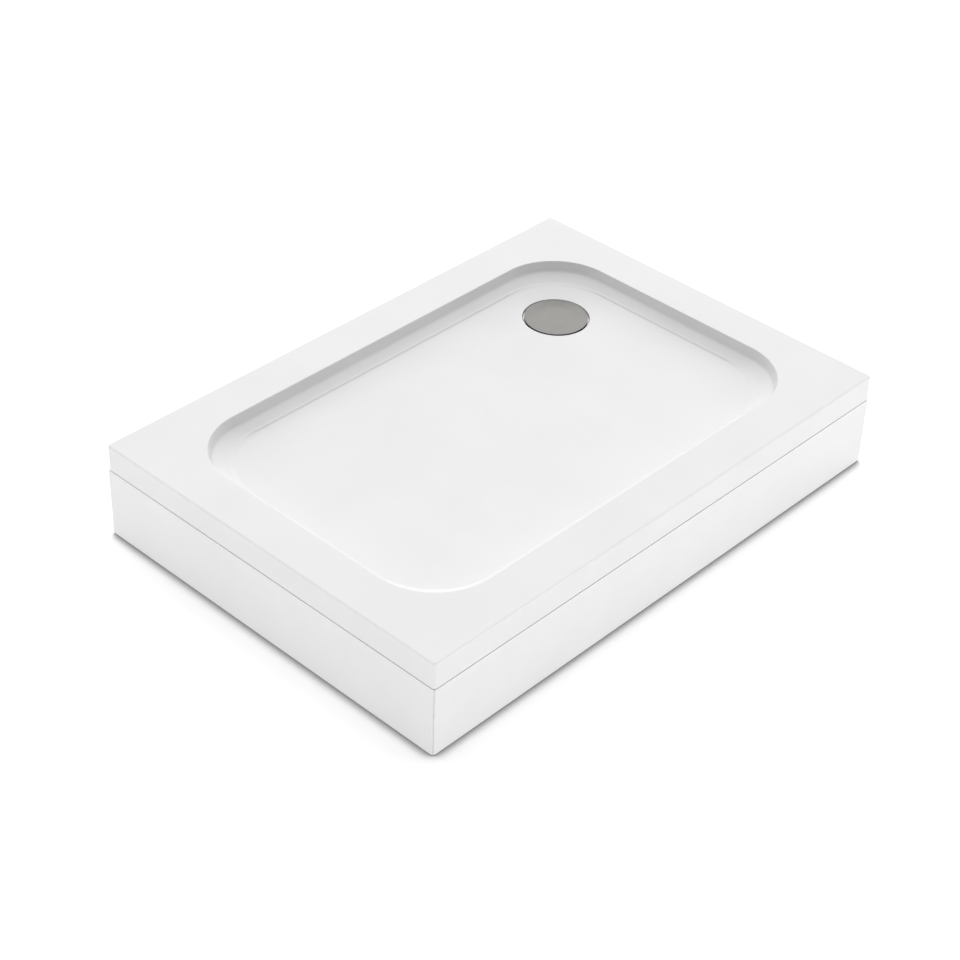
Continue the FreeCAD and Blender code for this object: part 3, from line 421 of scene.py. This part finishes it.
def brushed(name, base, rough):
    """Metal with fine parallel brush lines along X."""
    finish = Finish.material(name)
    lines = finish.noise(0.00045, 2.0, finish.spot((0.02, 1.0, 1.0)))
    smear = finish.noise(0.02, 3.0, finish.spot((0.35, 1.0, 1.0)))
    tone = finish.shades(lines, 0.25, 0.75, base, 0.95, 1.05)
    tone = finish.mix(finish.between(smear, 0.35, 0.75, 0.0, 0.35), tone, tinted(base, 0.9))
    finish.set(Base_Color=tone, Metallic=1.0)
    finish.set(Roughness=lines * 0.1 + smear * 0.08 + (rough - 0.09))
    finish.bump(lines, 0.000012)
    return finish.result


def rubber(name, base):
    """Black rubber with a faint grey bloom."""
    finish = Finish.material(name)
    bloom = finish.noise(0.012, 4.0)
    grain = finish.noise(0.0008, 3.0)
    tone = finish.mix(finish.between(bloom, 0.4, 0.8, 0.0, 0.6), base, tinted(base, 2.6))
    finish.set(Base_Color=tone, Roughness=grain * 0.16 + 0.6, IOR=1.52)
    finish.bump(grain, 0.00012)
    return finish.result


# ---------------------------------------------------------------- mesh helpers


def rounded(points, steps):
    """A polyline in two dimensions from (a, b, radius) corners, each corner turned into an arc."""
    line = [Vector(points[0][:2])]
    for before, here, after in zip(points, points[1:], points[2:]):
        corner = Vector(here[:2])
        if here[2] <= 0:
            line.append(corner)
            continue
        back = (Vector(before[:2]) - corner).normalized()
        on = (Vector(after[:2]) - corner).normalized()
        half = back.angle(on) / 2
        reach = here[2] / math.tan(half)
        middle = corner + (back + on).normalized() * (here[2] / math.sin(half))
        first = corner + back * reach - middle
        last = corner + on * reach - middle
        turn = first.angle_signed(last)
        for step in range(steps + 1):
            line.append(middle + Matrix.Rotation(-turn * step / steps, 2) @ first)
    line.append(Vector(points[-1][:2]))
    return line


def rounded_rectangle(half_x, half_y, radius, side_points, corner_points):
    """Points anticlockwise round a rectangle with round corners, the same number for any size."""
    ring = []
    centres = [(1, -1, -90), (1, 1, 0), (-1, 1, 90), (-1, -1, 180)]
    for sign_x, sign_y, start in centres:
        middle = Vector((sign_x * (half_x - radius), sign_y * (half_y - radius)))
        for step in range(corner_points + 1):
            turn = math.radians(start + 90 * step / corner_points)
            ring.append(middle + radius * Vector((math.cos(turn), math.sin(turn))))
    full = []
    for index, point in enumerate(ring):
        full.append(point)
        if index % (corner_points + 1) == corner_points:
            following = ring[(index + 1) % len(ring)]
            full += [point.lerp(following, step / side_points) for step in range(1, side_points)]
    return full


def round_ring(centre, reaches, height, start=0.0):
    """A level ring about a centre, from its reach at even steps round it."""
    ring = []
    for step, reach in enumerate(reaches):
        turn = 2 * math.pi * step / len(reaches) + start
        x, y = centre[0] + reach * math.cos(turn), centre[1] + reach * math.sin(turn)
        ring.append(Vector((x, y, height)))
    return ring


def between_points(at, points):
    """The value at one place of a line through (place, value) points that are in order."""
    for (start, low), (end, high) in zip(points, points[1:]):
        if at <= end:
            return low + (high - low) * (at - start) / (end - start)
    return points[-1][1]


def linked(context, name, data):
    """A new object in the scene, with that mesh, lamp or camera."""
    thing = bpy.data.objects.new(name, data)
    context.scene.collection.objects.link(thing)
    return thing


def lofted(context, name, *shells):
    """A smooth piece of one or more shells, each through rings with equally many points."""
    build = bmesh.new()
    for rings in shells:
        rows = [[build.verts.new(point) for point in ring] for ring in rings]
        for low, high in zip(rows, rows[1:]):
            for index in range(len(low)):
                after = (index + 1) % len(low)
                build.faces.new((low[index], low[after], high[after], high[index]))
    bmesh.ops.remove_doubles(build, verts=build.verts, dist=WELD_REACH)
    bmesh.ops.recalc_face_normals(build, faces=build.faces)
    mesh = bpy.data.meshes.new(name)
    build.to_mesh(mesh)
    build.free()
    mesh.shade_smooth()
    return linked(context, name, mesh)


def sharpen(piece, degrees):
    """Shade edges sharper than that angle as edges."""
    piece.data.set_sharp_from_angle(angle=math.radians(degrees))


def settle(context, piece):
    """Make what a piece's modifiers give its own mesh."""
    ready = piece.evaluated_get(context.evaluated_depsgraph_get())
    piece.data = bpy.data.meshes.new_from_object(ready)
    piece.modifiers.clear()


def flatten(piece):
    """Let large faces keep their own shading up to the small curves beside them."""
    weights = piece.modifiers.new("flat_faces", "WEIGHTED_NORMAL")
    weights.mode = "FACE_AREA"
    weights.keep_sharp = True


def finished(piece, body, node, material):
    """Put a new piece on its CAD body, in place of its CAD node, with its material."""
    piece.data.materials.append(material)
    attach(piece, body)
    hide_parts(node)
    return piece


# ---------------------------------------------------------------- pieces


class SHOWERTRAY_OT_skin(bpy.types.Operator):
    """Build the tray's white skin with its recess, ledge, sloping floor and well."""

    bl_idname = "showertray.skin"
    bl_label = "Tray Skin"

    def execute(self, context):
        tray = context.scene.shower_tray
        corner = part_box("tray_shell")[1]
        rings = self.outside(tray, corner.x, corner.y) + self.recess(tray, corner.x, corner.y)
        rings += self.floor(tray, rings[-1])
        piece = lofted(context, "tray_skin", rings)
        thick = piece.modifiers.new("skin", "SOLIDIFY")
        thick.thickness = tray.skin
        thick.offset = -1.0
        thick.use_even_offset = True
        settle(context, piece)
        sharpen(piece, SKIN_SHARP)
        flatten(piece)
        tone = context.scene.shower_finish.skin
        material = gel_coat("white_skin", tone, rough=0.30, wave=0.035, depth=0.00012)
        finished(piece, "tray", "tray_shell", material)
        return {"FINISHED"}

    def ring(self, tray, half_x, half_y, radius, height):
        """A level ring: a rectangle with round corners."""
        plan = rounded_rectangle(half_x, half_y, radius, tray.side_points, tray.corner_points)
        return [Vector((point.x, point.y, height)) for point in plan]

    def outside(self, tray, half_x, half_y):
        """The skirt and the rounded top edge, from below."""
        corners = [
            (0, tray.underside, 0),
            (0, tray.rim_top, tray.top_edge),
            (tray.top_edge * 2, tray.rim_top, 0),
        ]
        rings = []
        for inset, height in rounded(corners, tray.arc_steps)[:-1]:
            radius = max(tray.corner - inset, LEAST_CORNER)
            rings.append(self.ring(tray, half_x - inset, half_y - inset, radius, height))
        return rings

    def recess(self, tray, half_x, half_y):
        """The rim's inner edge, the wall, the ledge and the small step, going down."""
        wide, deep = half_x - tray.rim_width, half_y - tray.rim_width
        corners = [
            (-MARGIN, tray.rim_top, 0),
            (0, tray.rim_top, tray.rim_round),
            (tray.ledge_inset, tray.ledge_top, tray.cove),
            (tray.shoulder_inset, tray.shoulder_top, 0),
            (tray.lip_inset, tray.lip_top, tray.lip_round),
            (tray.floor_inset, tray.floor_edge, tray.step_foot),
            (tray.floor_inset + MARGIN, tray.floor_edge - MARGIN_FALL, 0),
        ]
        radii = [
            (-MARGIN, tray.opening_corner + MARGIN),
            (tray.ledge_inset, tray.opening_corner - tray.ledge_inset),
            (tray.shoulder_inset, tray.shoulder_corner),
            (tray.lip_inset, tray.shoulder_corner - (tray.lip_inset - tray.shoulder_inset)),
            (tray.floor_inset, tray.floor_corner),
            (tray.floor_inset + MARGIN, tray.floor_corner - MARGIN),
        ]
        rings = []
        for inset, height in rounded(corners, tray.arc_steps)[:-1]:
            radius = between_points(inset, radii)
            rings.append(self.ring(tray, wide - inset, deep - inset, radius, height))
        return rings

    def floor(self, tray, edge):
        """The floor from its edge down to the well, then the well and the hole."""
        centre = Vector((tray.waste_x, tray.waste_y))
        spokes = [(point.to_2d() - centre).normalized() for point in edge]
        top, foot, radius = tray.well_top, tray.well_floor, tray.well_radius

        def about_waste(out, height):
            return [Vector((*(centre + spoke * out), height)) for spoke in spokes]

        inner = about_waste(radius + tray.well_edge, top)
        rings = []
        for step in range(1, tray.floor_rings + 1):
            part = step / tray.floor_rings
            rings.append([point.lerp(end, part) for point, end in zip(edge, inner)])
        corners = [
            (radius + tray.well_edge, top, 0),
            (radius, top, tray.well_edge * WELL_EDGE_SHARE),
            (radius - WELL_TAPER, foot, tray.well_edge),
            (tray.hole_radius, foot, HOLE_ROUND),
            (tray.hole_radius, tray.underside, 0),
        ]
        profile = rounded(corners, tray.arc_steps)
        profile += [(tray.core_hole, tray.underside), (tray.core_hole, top - CORE_EDGE_DROP)]
        return rings + [about_waste(out, height) for out, height in profile[1:]]


class SHOWERTRAY_OT_cover(bpy.types.Operator):
    """Build the round metal waste cover with its stem."""

    bl_idname = "showertray.cover"
    bl_label = "Waste Cover"

    def execute(self, context):
        cover = context.scene.shower_cover
        tray = context.scene.shower_tray
        centre = (tray.waste_x, tray.waste_y)
        profile = self.under(cover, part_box("waste_cover")[0].z) + self.crown(cover)
        rings = [round_ring(centre, [out] * cover.around, height) for out, height in profile]
        piece = lofted(context, "waste_cover_top", rings)
        sharpen(piece, COVER_SHARP)
        material = brushed("cover_metal", context.scene.shower_finish.cover, rough=0.36)
        finished(piece, "cover", "waste_cover", material)
        return {"FINISHED"}

    def under(self, cover, foot):
        """Radii and heights of the stem, the collar and the lower face, from the axis outwards."""
        return [
            (0, foot),
            (cover.stem_radius - STEM_BEVEL, foot),
            (cover.stem_radius, foot + STEM_BEVEL),
            (cover.stem_radius, cover.seat),
            (cover.collar_radius - COLLAR_BEVEL, cover.seat),
            (cover.collar_radius, cover.seat + COLLAR_BEVEL),
            (cover.collar_radius, cover.bottom - COLLAR_FLARE),
            (cover.collar_radius + COLLAR_FLARE, cover.bottom),
            (cover.radius - LOWER_BEVEL, cover.bottom),
            (cover.radius, cover.bottom + LOWER_BEVEL),
        ]

    def crown(self, cover):
        """Radii and heights of the edge, the slope, the soft bend and the flat middle."""
        edge = cover.bottom + cover.edge
        top = edge + cover.rise
        slope = cover.rise / (cover.radius - cover.flat)
        roll_top = edge + cover.roll * slope
        profile = [
            (cover.radius, edge - UPRIGHT_END),
            (cover.radius - cover.roll * ROLL_IN, edge + (roll_top - edge) * ROLL_UP),
            (cover.radius - cover.roll, roll_top),
        ]
        for step in range(BEND_STEPS + 1):
            part = step / BEND_STEPS
            out = cover.flat + cover.soft * (1 - 2 * part)
            profile.append((out, top - slope * cover.soft * (1 - part) ** 2))
        return profile + [(0, top)]


class SHOWERTRAY_OT_rods(bpy.types.Operator):
    """Build the seven levelling rods with a real thread."""

    bl_idname = "showertray.rods"
    bl_label = "Threaded Rods"

    def execute(self, context):
        rod = context.scene.shower_rod
        material = plated("zinc_plate", context.scene.shower_finish.zinc)
        names = sorted(name for name in FRAME["nodes"] if name.startswith("threaded_rod_"))
        for name in names:
            number = name.rsplit("_", 1)[1]
            low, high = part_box(name)
            centre = ((low.x + high.x) / 2, (low.y + high.y) / 2)
            ends = (low.z, high.z)
            piece = lofted(
                context,
                f"levelling_rod_{number}",
                self.thread(rod, centre, low.z, rod.hex_bottom, ends),
                self.thread(rod, centre, rod.hex_top, high.z, ends),
                self.hexagon(rod, centre),
            )
            sharpen(piece, ROD_SHARP)
            finished(piece, f"rod_{number}", name, material)
        return {"FINISHED"}

    def thread(self, rod, centre, start, end, ends):
        """Rings of a threaded length, closed by a point at both ends."""
        shut = [0.0] * rod.around
        rings = [round_ring(centre, shut, start)]
        steps = round((end - start) / rod.pitch * rod.per_turn)
        for level in range(steps + 1):
            height = start + (end - start) * level / steps
            near = min(height - ends[0], ends[1] - height)
            widest = rod.radius - max(rod.bevel - near, 0.0)
            reaches = []
            for step in range(rod.around):
                wave = (height / rod.pitch - step / rod.around) % 1.0
                reaches.append(min(rod.radius - rod.depth * abs(2 * wave - 1), widest))
            rings.append(round_ring(centre, reaches, height))
        rings.append(round_ring(centre, shut, end))
        return rings

    def hexagon(self, rod, centre):
        """Rings of the hexagon, with its corners bevelled at both ends."""
        twelfth = math.pi / 6
        across = rod.flats / 2
        levels = [  # share of the full reach, height, trim of the corners
            (0.0, rod.hex_bottom, 1.0),
            (1.0, rod.hex_bottom, HEXAGON_TRIM),
            (1.0, rod.hex_bottom + rod.hex_bevel, 1.0),
            (1.0, rod.hex_top - rod.hex_bevel, 1.0),
            (1.0, rod.hex_top, HEXAGON_TRIM),
            (0.0, rod.hex_top, 1.0),
        ]
        rings = []
        for scale, height, trim in levels:
            widest = across / math.cos(twelfth) * trim
            reaches = []
            for step in range(rod.around):
                side = (2 * math.pi * step / rod.around + twelfth) % (2 * twelfth) - twelfth
                reaches.append(min(across / math.cos(side), widest) * scale)
            rings.append(round_ring(centre, reaches, height, twelfth))
        return rings


class SHOWERTRAY_OT_carried(bpy.types.Operator):
    """Give every CAD node that stays its own material."""

    bl_idname = "showertray.carried"
    bl_label = "Carried-over Nodes"

    def execute(self, context):
        tones = context.scene.shower_finish
        materials = {
            "cast_core": cast_stone("cast_core", tones.core),
            "white_panel": gel_coat("white_panel", tones.panel, rough=0.32, wave=0.05, depth=0.0001),
            "zinc_steel": plated("zinc_fixings", tones.zinc),
            "satin_steel": brushed("satin_steel", tones.satin, rough=0.33),
            "black_rubber": rubber("black_rubber", tones.rubber),
        }
        plastics = [  # slot, colour, roughness, grain and depth of the grain in metres
            ("clip_plastic", tones.clip, 0.48, 0.0009, 0.00006),
            ("leg_plastic", tones.leg, 0.5, 0.0011, 0.0001),
            ("trap_plastic", tones.trap, 0.36, 0.0016, 0.00004),
            ("insert_plastic", tones.insert, 0.42, 0.0013, 0.00005),
        ]
        for name, *look in plastics:
            materials[name] = moulded(name, *look)
        slots = {part["node"]: part["material_slot"] for part in FRAME["record"]["subparts"]}
        for name, node in FRAME["nodes"].items():
            if node.hide_render:
                continue
            for material_slot in node.material_slots:
                material_slot.material = materials[slots[name]]
        return {"FINISHED"}


# ---------------------------------------------------------------- stage


class SHOWERTRAY_OT_stage(bpy.types.Operator):
    """Set the floor, the studio light and the camera."""

    bl_idname = "showertray.stage"
    bl_label = "Studio"

    def execute(self, context):
        stage = context.scene.shower_stage
        self.floor(context, stage)
        self.studio(context, stage)
        self.lamps(context, stage)
        self.camera(context, stage)
        context.scene.view_settings.view_transform = "Standard"
        return {"FINISHED"}

    def floor(self, context, stage):
        """A wide pale floor, lighter to the camera than to the tray, with a painted contact shadow
        where the plinth meets it.
        """
        signs = ((-1, -1), (1, -1), (1, 1), (-1, 1))
        corners = [(x * FLOOR_HALF, y * FLOOR_HALF, 0.0) for x, y in signs]
        mesh = bpy.data.meshes.new("studio_floor")
        mesh.from_pydata(corners, [], [(0, 1, 2, 3)])
        finish = Finish.material("studio_floor")
        camera_ray = finish.node("ShaderNodeLightPath", output="Is Camera Ray")
        # Painted contact shadow: an ambient occlusion node darkens the floor's colour, as the camera
        # sees it, close to the plinth.
        settings, inputs = {"samples": SHADOW_SAMPLES}, {"Distance": stage.painted_shadow_reach}
        openness = finish.node("ShaderNodeAmbientOcclusion", settings, inputs, "AO")
        seen = finish.mix(finish.between(openness, SHADOW_FULL, 1.0), stage.painted_contact_shadow, stage.floor)
        finish.set(Base_Color=finish.mix(camera_ray, stage.bounce, seen))
        finish.set(Roughness=0.9, Specular_IOR_Level=0.0)
        mesh.materials.append(finish.result)
        linked(context, "studio_floor", mesh)

    def studio(self, context, stage):
        """An even pale surround, brighter behind the tray and plain white to the camera."""
        world = bpy.data.worlds.new("studio")
        world.use_nodes = True
        context.scene.world = world
        finish = Finish(world.node_tree, "Background")
        toward = finish.node("ShaderNodeTexCoord", output="Generated")
        inputs = {0: toward, 1: BACK_DIRECTION}
        facing = finish.node("ShaderNodeVectorMath", {"operation": "DOT_PRODUCT"}, inputs, "Value")
        glow = finish.between(facing, 0.0, BACK_FULL) * stage.back_sky + stage.sky
        seen = finish.node("ShaderNodeLightPath", output="Is Camera Ray")
        finish.set(Color=(1.0, 1.0, 1.0), Strength=seen + (1 - seen) * glow)

    def lamps(self, context, stage):
        """Two low lamps that reach only the outer faces."""
        for name, at, aim, power in LAMPS:
            light = bpy.data.lights.new(name, "AREA")
            light.shape = "RECTANGLE"
            light.size = LAMP_WIDTH
            light.size_y = LAMP_HEIGHT
            light.energy = getattr(stage, power)
            lamp = linked(context, name, light)
            lamp.location = at
            lamp.rotation_mode = "QUATERNION"
            lamp.rotation_quaternion = (Vector(aim) - Vector(at)).to_track_quat("-Z", "Y")
            lamp.visible_camera = False

    def camera(self, context, stage):
        """The camera that took the photograph, as fitted to the tray's corners."""
        level = math.cos(stage.elevation)
        back = Vector(
            (
                math.cos(stage.azimuth) * level,
                math.sin(stage.azimuth) * level,
                math.sin(stage.elevation),
            )
        )
        right = (-back).cross(Vector((0, 0, 1))).normalized()
        up = right.cross(-back)
        tipped_right = right * math.cos(stage.roll) + up * math.sin(stage.roll)
        tipped_up = up * math.cos(stage.roll) - right * math.sin(stage.roll)
        at = back * stage.distance + tipped_right * stage.slide_right + tipped_up * stage.slide_up
        at.z += context.scene.shower_tray.rim_top
        data = bpy.data.cameras.new("camera")
        data.lens = stage.lens
        data.sensor_width = SENSOR
        camera = linked(context, "camera", data)
        turn = Matrix((tipped_right, tipped_up, back)).transposed().to_4x4()
        camera.matrix_world = Matrix.Translation(at) @ turn
        context.scene.camera = camera


# ---------------------------------------------------------------- the add-on


class SHOWERTRAY_PT_panel(bpy.types.Panel):
    """The tray's settings and its building steps."""

    bl_label = "Shower Tray"
    bl_idname = "SHOWERTRAY_PT_panel"
    bl_space_type = "VIEW_3D"
    bl_region_type = "UI"
    bl_category = "Shower Tray"

    def draw(self, context):
        for title, owner in SETTINGS.items():
            box = self.layout.box()
            box.label(text=title.replace("_", " ").title())
            settings = getattr(context.scene, title)
            for name in owner.__annotations__:
                box.prop(settings, name)
        for operator in OPERATORS:
            self.layout.operator(operator.bl_idname)


SETTINGS = {
    "shower_tray": TraySettings,
    "shower_cover": CoverSettings,
    "shower_rod": RodSettings,
    "shower_finish": FinishSettings,
    "shower_stage": StageSettings,
}
OPERATORS = (
    SHOWERTRAY_OT_skin,
    SHOWERTRAY_OT_cover,
    SHOWERTRAY_OT_rods,
    SHOWERTRAY_OT_carried,
    SHOWERTRAY_OT_stage,
)
CLASSES = (*SETTINGS.values(), *OPERATORS, SHOWERTRAY_PT_panel)


def register():
    for item in CLASSES:
        bpy.utils.register_class(item)
    for name, owner in SETTINGS.items():
        setattr(bpy.types.Scene, name, PointerProperty(type=owner))


def unregister():
    for name in SETTINGS:
        delattr(bpy.types.Scene, name)
    for item in reversed(CLASSES):
        bpy.utils.unregister_class(item)


def main():
    """Register the add-on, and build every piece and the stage."""
    register()
    bpy.ops.showertray.skin()
    bpy.ops.showertray.cover()
    bpy.ops.showertray.rods()
    bpy.ops.showertray.carried()
    bpy.ops.showertray.stage()


if __name__ == "__main__":
    main()
